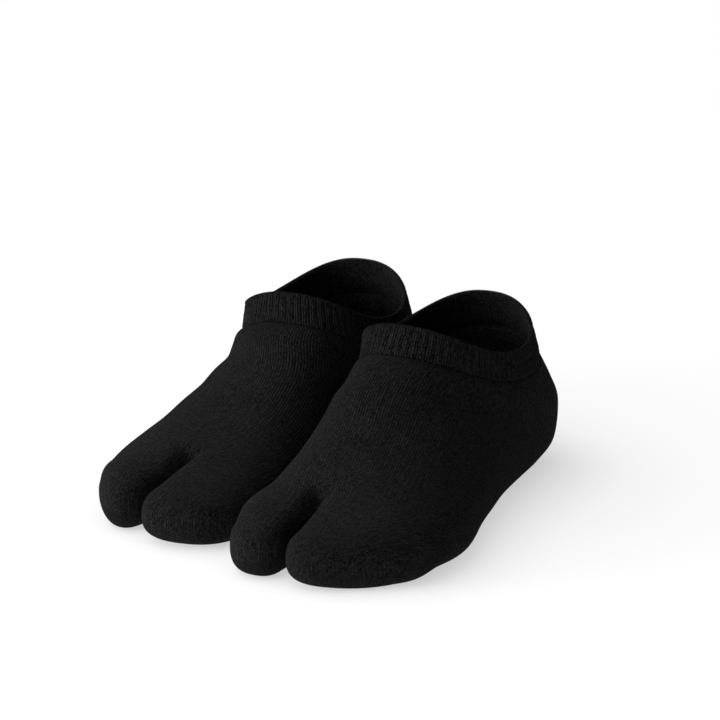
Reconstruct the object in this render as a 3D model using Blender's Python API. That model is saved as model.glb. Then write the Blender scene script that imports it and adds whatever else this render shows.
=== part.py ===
"""A pair of split-toe low-cut socks in worn shape, each with a knitted foot and a ribbed cuff.

The tables are in millimetres. In a sock's own frame x runs outwards (towards the little toe),
u runs from the heel to the toes and z runs up from the floor.
"""

import bpy
import numpy as np

# ---------------------------------------------------------------- sizes, mm
WALL = 1.8  # the knitted foot's wall
CUFF_OUT = 0.2  # how far the cuff's valleys stand out from the foot's line
CUFF_IN = 2.0  # how far its plain inside lies within that line
RIBS = 74
RIB_HEIGHT = 0.7
SEAM_GAP = 0.4  # between the foot's top edge and the cuff
CREASE_DEPTH = 0.9  # the line pressed round the back of the cuff
CREASE_FROM, CREASE_FADE = 0.45, 0.7  # where it starts, as the cosine of the angle from the front, and its fade
# Rows up the cuff's outside over its bottom edge: share of its height, of the ribs' and of the crease's depth.
CUFF_ROWS = [(0.36, 1.0, 0.0), (0.64, 1.0, 1.0), (0.82, 1.0, 0.0), (0.95, 0.9, 0.0)]
INSIDE_ROWS = (0.97, 0.5)
CROWN = (-0.35, -1.35)  # where the rounded top's two edges are

# One row per section of the foot, from the seam under the cuff, round the heel, to the split.
# top_u, top_z: where it crosses the instep; low_u, low_z: where it crosses the heel or the sole;
# crest: how far the instep's crest leans inwards; medial, lateral: half widths; widest: their share of the way
# up; top_round, low_round: how square each half is; drop: how far the sides hang below the line from top to low.
FOOT_COLUMNS = "top_u top_z low_u low_z crest medial lateral widest top_round low_round drop".split()
FOOT = [
    (105.0, 74.0, -2.3, 62.0, 4.0, 37.0, 36.5, 0.50, 2.3, 2.3, 14.5),
    (109.5, 72.5, -11.0, 44.0, 5.0, 37.0, 39.0, 0.47, 2.4, 2.5, 10.0),
    (114.0, 70.5, -16.0, 28.0, 6.0, 37.0, 41.0, 0.44, 2.4, 2.5, 6.0),
    (118.0, 68.0, -8.5, 5.5, 7.0, 37.0, 42.0, 0.41, 2.4, 2.4, 3.0),
    (122.5, 65.0, 17.0, -1.0, 8.0, 37.0, 42.0, 0.38, 2.3, 2.6, 1.0),
    (128.0, 61.5, 48.0, -1.0, 9.0, 37.0, 44.0, 0.36, 2.3, 2.8, 0.0),
    (134.5, 57.0, 79.0, -1.0, 9.0, 37.0, 46.0, 0.35, 2.2, 2.9, 0.0),
    (142.0, 52.0, 108.0, -1.0, 8.0, 37.5, 50.0, 0.34, 2.2, 3.1, 0.0),
    (152.0, 46.5, 133.0, -1.0, 7.0, 38.0, 53.5, 0.34, 2.2, 3.1, 0.0),
    (164.0, 41.5, 156.0, -1.0, 5.0, 38.0, 56.5, 0.36, 2.3, 3.1, 0.0),
    (177.0, 36.5, 175.0, -1.0, 3.0, 38.0, 58.5, 0.40, 2.4, 3.1, 0.0),
    (190.0, 32.5, 190.0, -1.0, 0.0, 38.0, 57.8, 0.42, 2.5, 3.1, 0.0),
]
FOOT_STEPS = (2, 3, 3, 3, 2, 2, 2, 1, 1, 1, 3)  # rings between one row and the next

# The cuff, from the seam to the rolled top, in the same columns.
CUFF = [
    (105.0, 74.0, -2.3, 62.0, 4.0, 37.0, 36.5, 0.50, 2.3, 2.3, 14.5),
    (102.5, 80.5, 2.8, 71.5, 4.0, 36.5, 36.0, 0.50, 2.3, 2.3, 15.2),
    (100.0, 87.0, 8.0, 81.0, 4.0, 36.0, 35.5, 0.50, 2.3, 2.3, 16.0),
]

# The split between the big toe and the rest: where it starts, and how far it heads outwards, degrees.
CLEFT_X = {"left": -3.3, "right": 7.5}
CLEFT_TURN = {"left": -3.0, "right": 16.0}
CLEFT_GAP = 1.2  # between the two pockets where they leave the foot
GROOVE_RUN, GROOVE_DEPTH, GROOVE_RISE, GROOVE_WIDTH = 6.0, 8.0, 2.0, 3.6
GROOVE_ABOVE = 14.0  # the height that parts the foot's top from its sole
SPREAD = {"left": 0.0, "right": -6.6}  # how much wider than the table the outer side is at the split
SPREAD_FROM = 5  # the row of the table where that starts

# One row per section of a toe pocket. inner_u, outer_u: how far along its two edges are, the cleft's and the
# foot's side; inset: how far its cleft edge stands off the cleft's gap; side_x: its other edge; edge_z: the
# height of both edges; top_z, low_z: its highest and lowest lines; near_round, top_round, low_round: how square
# it is over the cleft's edge, over the other edge and below.
POCKET_COLUMNS = "inner_u outer_u inset side_x edge_z top_z low_z near_round top_round low_round".split()
BIG_TOE = {
    "left": [
        (203.0, 202.0, 0.0, -37.0, 13.0, 29.5, -1.0, 3.8, 2.5, 2.8),
        (215.0, 212.0, 0.8, -35.3, 12.0, 26.5, -1.0, 3.3, 2.4, 2.7),
    ],
    "right": [
        (203.0, 202.0, 0.0, -37.0, 13.0, 29.0, -1.0, 3.8, 2.5, 2.8),
        (215.0, 211.0, 0.8, -34.0, 12.0, 26.0, -1.0, 3.3, 2.4, 2.7),
    ],
}
OTHER_TOES = {
    "left": [
        (203.0, 200.5, 0.0, 56.0, 13.0, 28.5, -1.0, 3.8, 2.5, 2.9),
        (215.0, 207.5, 0.3, 50.5, 12.0, 25.5, -1.0, 3.3, 2.4, 2.8),
    ],
    "right": [
        (202.0, 199.0, 0.0, 48.5, 14.0, 28.8, -1.0, 3.6, 2.3, 2.3),
        (212.0, 205.0, 0.3, 46.0, 14.0, 26.5, -1.0, 3.1, 2.15, 2.15),
    ],
}
POCKET_STEPS = (2, 2)
# The rounded end: nose length, squareness across, how far it heads outwards at its two edges (degrees), and
# the angle of the closing line (degrees).
BIG_TOE_END = {"left": (16.0, 2.2, (-4.0, 8.0), -12.0), "right": (23.0, 2.2, (13.0, 10.0), -12.0)}
OTHER_TOES_END = {"left": (23.0, 2.15, (-4.0, -38.0), -12.0), "right": (14.5, 2.2, (18.0, -18.0), -12.0)}
END_RINGS = 4
END_ROUND = 2.4  # how square the end is seen from its side

# Mesh columns round the foot, on the little toe's side of the cleft and on the big toe's, and down the web.
COLUMNS = {"left": (30, 18), "right": (24, 24)}
WEB_COLUMNS = 6
WEB_SHARE = 0.4  # how far past a pocket's cleft edge each half of them runs, over the web's height

# Where each sock stands: x, y of its heel line, mm, and the turn outwards of its toes, degrees.
PLACE = {"left": (35.4, 94.9, 0.0), "right": (-45.5, 122.8, -1.3)}


# ---------------------------------------------------------------- curves
def spline_row(rows, t):
    """A row between the rows of a table, t counted in rows."""
    rows = np.asarray(rows, float)
    i = int(min(max(np.floor(t), 0), len(rows) - 2))
    f = t - i
    before = rows[i - 1] if i > 0 else 2 * rows[0] - rows[1]
    after = rows[i + 2] if i + 2 < len(rows) else 2 * rows[-1] - rows[-2]
    return blend(before, rows[i], rows[i + 1], after, f)


def blend(p0, p1, p2, p3, f):
    """The Catmull-Rom curve from p1 to p2."""
    square = 2 * p0 - 5 * p1 + 4 * p2 - p3
    cube = 3 * p1 - p0 - 3 * p2 + p3
    return 0.5 * (2 * p1 + (p2 - p0) * f + square * f**2 + cube * f**3)


def smooth(t):
    t = np.clip(t, 0.0, 1.0)
    return t * t * (3 - 2 * t)


def power(value, exponent):
    return np.sign(value) * np.abs(value) ** exponent


ANGLES = np.linspace(0, 2 * np.pi, 720, endpoint=False)


def section(row, angle=ANGLES):
    """A closed ring of the foot: from the instep (0) over the outer side to the sole (180) and back."""
    r = dict(zip(FOOT_COLUMNS, row))
    c, s = np.cos(angle), np.sin(angle)
    round_here = np.where(c > 0, r["top_round"], r["low_round"])
    across = np.where(s > 0, r["lateral"], r["medial"]) * power(s, 2 / round_here)
    across -= r["crest"] * np.clip(c, 0, None) ** 2
    up = np.where(
        c > 0,
        r["widest"] + (1 - r["widest"]) * power(np.clip(c, 0, None), 2 / r["top_round"]),
        r["widest"] * (1 - power(np.clip(-c, 0, None), 2 / r["low_round"])),
    )
    u = r["low_u"] + (r["top_u"] - r["low_u"]) * up
    z = r["low_z"] + (r["top_z"] - r["low_z"]) * up - r["drop"] * s**2
    return np.stack([across, u, z], 1)


def lengths(curve):
    """The share of a closed curve's length at each of its points, and 1 at its return."""
    shut = np.vstack([curve, curve[:1]])
    run = np.concatenate([[0], np.cumsum(np.linalg.norm(np.diff(shut, axis=0), axis=1))])
    return shut, run / run[-1]


def evenly(curve, start, end, count):
    """count + 1 points spaced evenly from one share of a closed curve's length to another."""
    shut, share = lengths(curve)
    t = np.linspace(start, end, count + 1) % 1.0
    return np.stack([np.interp(t, share, shut[:, k]) for k in range(3)], 1)


def cleft_at(side, u):
    """Where the cleft's line is at u."""
    return CLEFT_X[side] + (u - FOOT[-1][0]) * np.tan(np.radians(CLEFT_TURN[side]))


def foot_section(t, side):
    """The foot's ring at t, counted in rows of the table, with its outer side spread for this sock."""
    ring = section(spline_row(FOOT, t))
    widest = FOOT[-1][FOOT_COLUMNS.index("lateral")]
    spread = 1 + SPREAD[side] / widest * smooth((t - SPREAD_FROM) / (len(FOOT) - 1 - SPREAD_FROM))
    ring[:, 0] *= np.where(ring[:, 0] > 0, spread, 1)
    return ring


def cleft_shares(side):
    """Where the last ring crosses the cleft: the share on top, counted from the instep, and the share below."""
    ring = foot_section(len(FOOT) - 1, side)
    share = lengths(ring)[1][:-1]
    above = np.cos(ANGLES) > 0
    away = np.abs(ring[:, 0] - CLEFT_X[side])
    top = np.argmin(np.where(above, away, np.inf))
    low = np.argmin(np.where(above, np.inf, away))
    return share[top] - (share[top] > 0.5), share[low]


def foot_ring(t, side, shares):
    """A ring's mesh points: from the cleft's top line over the outer side to its bottom line, and back up."""
    curve = foot_section(t, side)
    top, low = shares
    outer = evenly(curve, top, low, COLUMNS[side][0])
    inner = evenly(curve, low, top + 1, COLUMNS[side][1])
    return grooved(np.vstack([outer[:-1], inner[:-1]]), side)


def grooved(points, side):
    """The foot dips on top, and lifts a little below, as it nears the cleft."""
    points = points.copy()
    x, u, z = points.T
    run = smooth((u - FOOT[-1][0] + GROOVE_RUN) / GROOVE_RUN) ** 1.5
    dip = run * np.exp(-((np.abs(x - cleft_at(side, u)) / GROOVE_WIDTH) ** 1.5))
    points[:, 2] = np.where(z > GROOVE_ABOVE, z - GROOVE_DEPTH * dip, z + GROOVE_RISE * dip)
    return points


def pocket_section(row, side, way):
    """A closed ring of a toe pocket: from its cleft edge (0) over the top to its outer edge (180) and back."""
    r = dict(zip(POCKET_COLUMNS, row))
    near = cleft_at(side, r["inner_u"]) + way * (CLEFT_GAP / 2 + r["inset"])
    c, s = np.cos(ANGLES), np.sin(ANGLES)
    round_here = np.where(s > 0, np.where(c > 0, r["near_round"], r["top_round"]), r["low_round"])
    across = 0.5 - 0.5 * power(c, 2 / round_here)
    high = np.where(s > 0, r["top_z"] - r["edge_z"], r["edge_z"] - r["low_z"]) * power(s, 2 / round_here)
    along = r["inner_u"] + (r["outer_u"] - r["inner_u"]) * across
    return np.stack([near + (r["side_x"] - near) * across, along, r["edge_z"] + high], 1)


def pocket_end(last, before, half, columns, nose, squareness, turns, seam, rings):
    """Rings that close a pocket like a pillow's end, hinged on its two edges; the columns run over the tip."""
    near, far = last[0], last[half + columns]
    axis = far - near
    across = np.clip(((last - near) @ axis) / (axis @ axis), 0, 1)
    turned = np.radians(turns[0] + (turns[1] - turns[0]) * across)
    ahead = np.stack([np.sin(turned), np.cos(turned), np.zeros(len(last))], 1)
    reach = nose * np.clip(1 - np.abs(2 * across - 1) ** squareness, 0, None) ** (1 / squareness)
    height = (last - near - across[:, None] * axis)[:, 2]
    step = last - before
    slope = step[:, 2] / np.linalg.norm(step[:, :2], axis=1)
    above = np.arange(len(last)) <= half + columns
    # the other half's height at the same place across, for the part of each column past the edge line
    partner = np.abs(height[(-np.arange(len(last))) % len(last)])
    out = []
    for k in range(1, rings + 1):
        f = k / (rings + 0.5)
        start = np.where(above, np.pi / 2, -np.pi / 2)
        angle = start + (np.radians(seam) - start) * f
        own = np.where(np.sin(angle) * np.where(above, 1, -1) > 0, np.abs(height), partner)
        forward = reach * power(np.cos(angle), 2 / END_ROUND)
        lift = own * power(np.sin(angle), 2 / END_ROUND) + slope * forward * (1 - f) ** 2
        ring = near + across[:, None] * axis + forward[:, None] * ahead
        ring[:, 2] += lift
        ring[0], ring[half + columns] = near, far
        out.append(ring)
    return out


def pocket_rings(base, before, rows, side, way, columns):
    """A pocket's rings before its end, from the foot's last two between the cleft's top and bottom lines."""
    half = WEB_COLUMNS // 2
    web = np.linspace(base[0], base[-1], WEB_COLUMNS + 1)
    behind = web + 0.5 * ((before[0] - base[0]) + (before[-1] - base[-1]))

    def order(over, down):
        return np.vstack([down[half:0:-1], over, down[-2:half:-1]])

    shaped = []
    for row in rows:
        curve = pocket_section(row, side, way)
        share = lengths(curve)[1]
        edge = share[len(ANGLES) // 2]
        run = np.linalg.norm(np.diff(np.vstack([curve, curve[:1]]), axis=0), axis=1).sum()
        web_share = WEB_SHARE * np.linalg.norm(base[0] - base[-1]) / run
        shaped.append(
            np.vstack(
                [
                    evenly(curve, 0, web_share, half)[:-1],
                    evenly(curve, web_share, edge, columns)[:-1],
                    evenly(curve, edge, 1 - web_share, columns)[:-1],
                    evenly(curve, 1 - web_share, 1, half)[:-1],
                ]
            )
        )
    guides = [order(before, behind), order(base, web), *shaped]
    guides.append(2 * guides[-1] - guides[-2])
    rings = []
    for i, steps in enumerate(POCKET_STEPS):
        rings += [blend(*guides[i : i + 4], k / steps) for k in range(steps)]
    return rings + [shaped[-1]], web[1:-1]


class Skin:
    """Points and the faces between them."""

    def __init__(self):
        self.points, self.faces = [], []

    def add(self, points):
        start = len(self.points)
        self.points.extend(np.asarray(points, float))
        return list(range(start, len(self.points)))

    def band(self, a, b, flip=False):
        for j in range(len(a)):
            k = (j + 1) % len(a)
            face = (a[j], a[k], b[k], b[j])
            self.face(face[::-1] if flip else face)

    def face(self, corners):
        corners = tuple(dict.fromkeys(corners))
        if len(corners) > 2:
            self.faces.append(corners)


def normals_of(skin):
    """The outward direction at each point."""
    points = np.array(skin.points)
    found = np.zeros_like(points)
    for face in skin.faces:
        p = points[list(face)]
        for i in range(1, len(p) - 1):
            n = np.cross(p[i] - p[0], p[i + 1] - p[0])
            for corner in face:
                found[corner] += n
    return found / np.maximum(np.linalg.norm(found, axis=1), 1e-9)[:, None]


def foot_skin(side):
    """The foot's outer surface, open at the seam, with the ring indices of each pocket's end."""
    shares = cleft_shares(side)
    outer_columns, inner_columns = COLUMNS[side]
    steps = [i + k / n for i, n in enumerate(FOOT_STEPS) for k in range(n)] + [len(FOOT_STEPS)]
    rings = [foot_ring(t, side, shares) for t in steps]
    skin = Skin()
    ids = [skin.add(ring) for ring in rings]
    for a, b in zip(ids, ids[1:]):
        skin.band(a, b)
    over_outer = list(range(outer_columns + 1))
    over_inner = [0, *range(outer_columns + inner_columns - 1, outer_columns - 1, -1)]
    half = WEB_COLUMNS // 2
    web_ids, ends = None, []
    for picked, rows, end, way in (
        (over_outer, OTHER_TOES[side], OTHER_TOES_END[side], 1),
        (over_inner, BIG_TOE[side], BIG_TOE_END[side], -1),
    ):
        columns = (len(picked) - 1) // 2
        tube, web = pocket_rings(rings[-1][picked], rings[-2][picked], rows, side, way, columns)
        web_ids = web_ids or skin.add(web)
        line = [ids[-1][picked[0]], *web_ids, ids[-1][picked[-1]]]
        last = [*line[half:0:-1], *(ids[-1][i] for i in picked), *line[-2:half:-1]]
        tube_ids = [last]
        for ring in tube[1:]:
            tube_ids.append(skin.add(ring))
        for a, b in zip(tube_ids, tube_ids[1:]):
            skin.band(a, b, flip=way < 0)
        ends.append((tube_ids[-1], tube_ids[-2], half, columns, end, way))
    return skin, ids, ends


def close_ends(skin, ends, shrink):
    """Adds each pocket's rounded end."""
    for ids, ids_before, half, columns, (nose, squareness, turns, seam), way in ends:
        last = np.array([skin.points[i] for i in ids])
        behind = np.array([skin.points[i] for i in ids_before])
        before = ids
        for ring in pocket_end(last, behind, half, columns, nose - shrink, squareness, turns, seam, END_RINGS):
            row = skin.add(ring)
            row[0], row[half + columns] = ids[0], ids[half + columns]
            skin.band(before, row, flip=way < 0)
            before = row
        count = len(ids)
        for j in range(half + columns):
            face = (before[j], before[j + 1], before[(count - j - 1) % count], before[(count - j) % count])
            skin.face(face[::-1] if way < 0 else face)


def clean(skin):
    """Drops points that no face uses."""
    used = sorted({i for face in skin.faces for i in face})
    place = {old: new for new, old in enumerate(used)}
    skin.points = [skin.points[i] for i in used]
    skin.faces = [tuple(place[i] for i in face) for face in skin.faces]
    return skin


def foot_solid(side):
    """The knitted foot as a closed wall: outer surface, inner surface and the edge under the cuff."""
    outer, ids, ends = foot_skin(side)
    open_points = np.array(outer.points)
    close_ends(outer, ends, 0.0)
    normals = normals_of(outer)[: len(open_points)]
    inner = Skin()
    inner.points = list(open_points - WALL * normals)
    inner.faces = [f for f in outer.faces if max(f) < len(open_points)]
    close_ends(inner, ends, WALL)
    for skin, floor in ((outer, 0.0), (inner, WALL)):
        points = np.array(skin.points)
        points[:, 2] = np.maximum(points[:, 2], floor)
        skin.points = list(points)
    shift = len(outer.points)
    solid = Skin()
    solid.points = outer.points + inner.points
    solid.faces = outer.faces + [tuple(i + shift for i in reversed(face)) for face in inner.faces]
    rim = ids[0]
    solid.band([i + shift for i in rim], rim)
    return clean(solid)


# ---------------------------------------------------------------- cuff
def outward(curve):
    """The level direction out of a closed ring at each of its points."""
    along = np.roll(curve, -1, axis=0) - np.roll(curve, 1, axis=0)
    out = np.stack([-along[:, 1], along[:, 0], np.zeros(len(curve))], 1)
    out /= np.linalg.norm(out, axis=1)[:, None]
    middle = curve.mean(axis=0)
    return out if ((curve - middle) * out).sum() > 0 else -out


def cuff_ring(t, count, offset):
    """count points evenly round the cuff at height t (0 at the seam, 1 at the top), moved out by offset."""
    curve = evenly(section(spline_row(CUFF, t * (len(CUFF) - 1))), 0, 1, count)[:-1]
    return curve + np.asarray(offset).reshape(-1, 1) * outward(curve)


def backward(count):
    """1 round the back of the cuff, 0 at its front, for count points round it."""
    angle = 2 * np.pi * np.arange(count) / count
    return smooth((CREASE_FROM - np.cos(angle)) / CREASE_FADE)


def cuff_solid():
    """The ribbed cuff as a closed wall with a rounded top."""
    outside = 2 * RIBS
    ribs = RIB_HEIGHT * (np.arange(outside) % 2 == 0)
    back = backward(outside)
    low = SEAM_GAP / (CUFF[-1][1] - CUFF[0][1])
    skin = Skin()
    outer = [
        skin.add(cuff_ring(t, outside, CUFF_OUT + ribs * share - CREASE_DEPTH * crease * back))
        for t, share, crease in [(low, 1.0, 0.0), *CUFF_ROWS]
    ]
    crown, crown_in = (skin.add(cuff_ring(1.0, RIBS, offset * np.ones(RIBS))) for offset in CROWN)
    inner = [skin.add(cuff_ring(t, RIBS, -CUFF_IN * np.ones(RIBS))) for t in (*INSIDE_ROWS, low)]

    def step_down(wide, narrow, flip=False):
        for j in range(RIBS):
            k = (j + 1) % RIBS
            a, m, b = wide[2 * j], wide[2 * j + 1], wide[(2 * j + 2) % outside]
            for face in ((a, m, narrow[j]), (m, b, narrow[k]), (m, narrow[k], narrow[j])):
                skin.face(face[::-1] if flip else face)

    for a, b in zip(outer, outer[1:]):
        skin.band(b, a)
    step_down(outer[-1], crown, flip=True)
    skin.band(crown_in, crown)
    skin.band(inner[0], crown_in)
    for a, b in zip(inner, inner[1:]):
        skin.band(b, a)
    step_down(outer[0], inner[-1])
    return clean(skin)


def placed(skin, side):
    """The skin's points in metres in the pair's frame, and its faces, turned round for the mirrored sock."""
    points = np.array(skin.points)
    x, y, turn = PLACE[side]
    way = 1 if side == "left" else -1
    angle = np.radians(turn) * way
    across, along = points[:, 0] * way, -points[:, 1]
    out = np.stack(
        [
            x + across * np.cos(angle) - along * np.sin(angle),
            y + across * np.sin(angle) + along * np.cos(angle),
            points[:, 2],
        ],
        1,
    )
    faces = skin.faces if way < 0 else [face[::-1] for face in skin.faces]
    return out * 0.001, faces


# ---------------------------------------------------------------- Blender objects
def material(name, colour, roughness):
    made = bpy.data.materials.new(name)
    made.use_nodes = True
    shader = made.node_tree.nodes["Principled BSDF"]
    shader.inputs["Base Color"].default_value = (*colour, 1)
    shader.inputs["Roughness"].default_value = roughness
    return made


def node(name, skin, side, look):
    points, faces = placed(skin, side)
    mesh = bpy.data.meshes.new(name)
    mesh.from_pydata(points.tolist(), [], faces)
    mesh.update()
    mesh.materials.append(look)
    made = bpy.data.objects.new(name, mesh)
    bpy.context.scene.collection.objects.link(made)
    return made


def main():
    for old in list(bpy.data.objects):
        bpy.data.objects.remove(old)
    knit = material("black_knit", (0.014, 0.014, 0.015), 0.9)
    rib = material("black_rib", (0.018, 0.018, 0.019), 0.9)
    for side in ("left", "right"):
        node(f"{side}_foot", foot_solid(side), side, knit)
        node(f"{side}_cuff", cuff_solid(), side, rib)


main()
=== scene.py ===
"""Looks of a pair of worn split-toe socks: fine black knit with a ribbed cuff, on a white studio floor.

The tables are in millimetres and are those of the solids. Only the dip at the cleft starts a little further
back and wider here, and the cloth stands out a little more in the places that SWELLS names. In a sock's own
frame x runs outwards (towards the little toe), u runs from the heel to the toes and z runs up from the floor.
Each piece is a knitted wall on its solid's form: the wales and ribs are raised in its outer points, and the
stitches are in its material.
"""

import bmesh
import bpy
import numpy as np
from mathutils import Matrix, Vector


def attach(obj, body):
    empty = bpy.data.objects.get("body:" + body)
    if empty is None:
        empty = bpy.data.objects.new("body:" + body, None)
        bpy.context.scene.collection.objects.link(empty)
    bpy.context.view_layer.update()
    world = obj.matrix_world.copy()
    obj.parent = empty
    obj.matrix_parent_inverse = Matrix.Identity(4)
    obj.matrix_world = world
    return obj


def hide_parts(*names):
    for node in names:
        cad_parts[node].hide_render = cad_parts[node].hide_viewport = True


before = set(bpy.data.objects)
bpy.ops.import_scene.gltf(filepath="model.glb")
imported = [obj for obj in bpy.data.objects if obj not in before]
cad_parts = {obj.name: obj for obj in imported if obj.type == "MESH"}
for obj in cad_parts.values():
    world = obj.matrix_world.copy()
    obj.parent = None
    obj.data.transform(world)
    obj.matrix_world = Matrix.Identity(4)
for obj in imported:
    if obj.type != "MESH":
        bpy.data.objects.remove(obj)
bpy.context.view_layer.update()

# ---------------------------------------------------------------- sizes, mm
MM = 0.001  # in metres
WALL = 1.8  # the knitted foot's wall
CUFF_OUT = 0.2  # how far the cuff's valleys stand out from the foot's line
CUFF_IN = 2.0  # how far its inside lies within that line
RIBS = 74
RIB_WALES = 3  # wales of knit to a rib
RIB_HEIGHT = 0.6
RIB_LEAN = 0.5  # ribs, from the cuff's bottom to its top
WALE_PARTING = 0.3  # how deep the lines between a rib's wales are
SEAM_RIDGE = 0.6  # how far the ridge along the seam stands out
SEAM_SCALLOP = 0.7  # how far down over the seam every other wale of the ridge reaches
ROLL, ROLL_GROOVE = 0.35, 0.25  # how far the rolled top stands out, and how deep the line below it is
CREASE_LIP, CREASE_DEPTH = 0.5, 0.5  # the fold round the back of the cuff, and the line pressed in below it
CREASE_FROM, CREASE_FADE = 0.45, 0.7  # from which cosine of the angle from the front, and over what run

# One row per section of the foot, from the seam under the cuff, round the heel, to the split.
# top_u, top_z: where it crosses the instep; low_u, low_z: where it crosses the heel or the sole; crest: how
# far the instep's crest leans inwards; medial, lateral: half widths; widest: how far up they are, as a share;
# top_round, low_round: how square each half is; drop: how far the sides hang below the line from top to low.
FOOT_COLUMNS = "top_u top_z low_u low_z crest medial lateral widest top_round low_round drop".split()
FOOT = [
    (105.0, 74.0, -2.3, 62.0, 4.0, 37.0, 36.5, 0.50, 2.3, 2.3, 14.5),
    (109.5, 72.5, -11.0, 44.0, 5.0, 37.0, 39.0, 0.47, 2.4, 2.5, 10.0),
    (114.0, 70.5, -16.0, 28.0, 6.0, 37.0, 41.0, 0.44, 2.4, 2.5, 6.0),
    (118.0, 68.0, -8.5, 5.5, 7.0, 37.0, 42.0, 0.41, 2.4, 2.4, 3.0),
    (122.5, 65.0, 17.0, -1.0, 8.0, 37.0, 42.0, 0.38, 2.3, 2.6, 1.0),
    (128.0, 61.5, 48.0, -1.0, 9.0, 37.0, 44.0, 0.36, 2.3, 2.8, 0.0),
    (134.5, 57.0, 79.0, -1.0, 9.0, 37.0, 46.0, 0.35, 2.2, 2.9, 0.0),
    (142.0, 52.0, 108.0, -1.0, 8.0, 37.5, 50.0, 0.34, 2.2, 3.1, 0.0),
    (152.0, 46.5, 133.0, -1.0, 7.0, 38.0, 53.5, 0.34, 2.2, 3.1, 0.0),
    (164.0, 41.5, 156.0, -1.0, 5.0, 38.0, 56.5, 0.36, 2.3, 3.1, 0.0),
    (177.0, 36.5, 175.0, -1.0, 3.0, 38.0, 58.5, 0.40, 2.4, 3.1, 0.0),
    (190.0, 32.5, 190.0, -1.0, 0.0, 38.0, 57.8, 0.42, 2.5, 3.1, 0.0),
]

# The cuff, from the seam to the rolled top, in the same columns.
CUFF = [
    FOOT[0],
    (102.5, 80.5, 2.8, 71.5, 4.0, 36.5, 36.0, 0.50, 2.3, 2.3, 15.2),
    (100.0, 87.0, 8.0, 81.0, 4.0, 36.0, 35.5, 0.50, 2.3, 2.3, 16.0),
]

# The split between the big toe and the rest: where it starts, and how far it heads outwards, degrees.
CLEFT_X = {"left": -3.3, "right": 7.5}
CLEFT_TURN = {"left": -3.0, "right": 16.0}
CLEFT_GAP = 1.2  # between the two pockets where they leave the foot
GROOVE_RUN, GROOVE_WIDTH = 8.0, 3.6  # the dip behind the cleft: its length and its half width at the cleft
GROOVE_DEPTH, GROOVE_RISE = 8.0, 2.0  # how far the foot's top dips there, and how far its sole lifts
GROOVE_SPREAD = 2.0  # how much wider the dip is where it starts, in its widths at the cleft
GROOVE_LATE, GROOVE_FLAT = 1.5, 1.5  # how late the dip deepens, and how flat its floor is
GROOVE_ABOVE = 14.0  # the height that parts the foot's top from its sole
SPREAD = {"left": 0.0, "right": -6.6}  # how much wider than the table the outer side is at the split
SPREAD_FROM = 5  # the row of the table where that starts

# One row per section of a toe pocket. inner_u, outer_u: how far along its two edges are, the cleft's and the
# foot's side; inset: how far its cleft edge stands off the cleft's gap; side_x: its other edge; edge_z: the
# height of both edges; top_z, low_z: its highest and lowest lines; near_round, top_round, low_round: how
# square it is over the cleft's edge, over the other edge and below.
POCKET_COLUMNS = "inner_u outer_u inset side_x edge_z top_z low_z near_round top_round low_round".split()
BIG_TOE = {
    "left": [
        (203.0, 202.0, 0.0, -37.0, 13.0, 29.5, -1.0, 3.8, 2.5, 2.8),
        (215.0, 212.0, 0.8, -35.3, 12.0, 26.5, -1.0, 3.3, 2.4, 2.7),
    ],
    "right": [
        (203.0, 202.0, 0.0, -37.0, 13.0, 29.0, -1.0, 3.8, 2.5, 2.8),
        (215.0, 211.0, 0.8, -34.0, 12.0, 26.0, -1.0, 3.3, 2.4, 2.7),
    ],
}
OTHER_TOES = {
    "left": [
        (203.0, 200.5, 0.0, 56.0, 13.0, 28.5, -1.0, 3.8, 2.5, 2.9),
        (215.0, 207.5, 0.3, 50.5, 12.0, 25.5, -1.0, 3.3, 2.4, 2.8),
    ],
    "right": [
        (202.0, 199.0, 0.0, 48.5, 14.0, 28.8, -1.0, 3.6, 2.3, 2.3),
        (212.0, 205.0, 0.3, 46.0, 14.0, 26.5, -1.0, 3.1, 2.15, 2.15),
    ],
}
# The rounded end: nose length, squareness across, how far it heads outwards at its two edges (degrees), and
# the angle of the closing line (degrees).
BIG_TOE_END = {"left": (16.0, 2.2, (-4.0, 8.0), -12.0), "right": (23.0, 2.2, (13.0, 10.0), -12.0)}
OTHER_TOES_END = {"left": (23.0, 2.15, (-4.0, -38.0), -12.0), "right": (14.5, 2.2, (18.0, -18.0), -12.0)}
END_ROUND = 2.4  # how square the end is seen from its side

# Where each sock stands: x, y of its heel line, mm, and the turn outwards of its toes, degrees.
PLACE = {"left": (35.4, 94.9, 0.0), "right": (-45.5, 122.8, -1.3)}

# ---------------------------------------------------------------- the foot's knit, mm
WALES = {"left": (106, 62), "right": (84, 84)}  # on the little toe's side of the cleft and on the big toe's
WEB_WALES = 6  # across the web between the two pockets
WEB_SHARE = 0.4  # how far past a pocket's cleft edge each half of them runs, over the web's height
COURSE = 1.05  # from one row of stitches to the next
WALE_WIDTH = 1.28  # on the instep, where the wales crowd together
WALE_NARROW, WALE_GAIN = 0.95, 0.1  # their share of it at the seam, and what they gain from there
GAIN_ROWS = 6  # over so many rows of FOOT
WALE_HEIGHT = 0.06
CROWD_FROM, CROWD_RUN = 0.35, 0.45  # flat below that share of WALE_WIDTH, they rise over the next such run
TOES_FROM, TOES_RUN, TOES_LOSS = 120.0, 60.0, 0.6  # from which u and over what run they lose that part of it
SOLE_FROM, SOLE_RUN, SOLE_SHARE = 1.0, 8.0, 0.4  # below which z they keep that share of it, and over what run
FLAT_BELOW = 0.5  # the sole is left flat below this z

# The slight unevenness of the cloth: waves with these lengths over a turn along x, u and z, and their start.
SOFT_WAVES = [(17.0, 29.0, np.inf, 0.0), (np.inf, 13.0, -19.0, 1.3), (11.0, -23.0, 31.0, 0.7)]
SOFT_HEIGHT, SOFT_FROM, SOFT_RUN = 0.09, 3.0, 10.0  # each wave's height, and from which z and over what run

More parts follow.
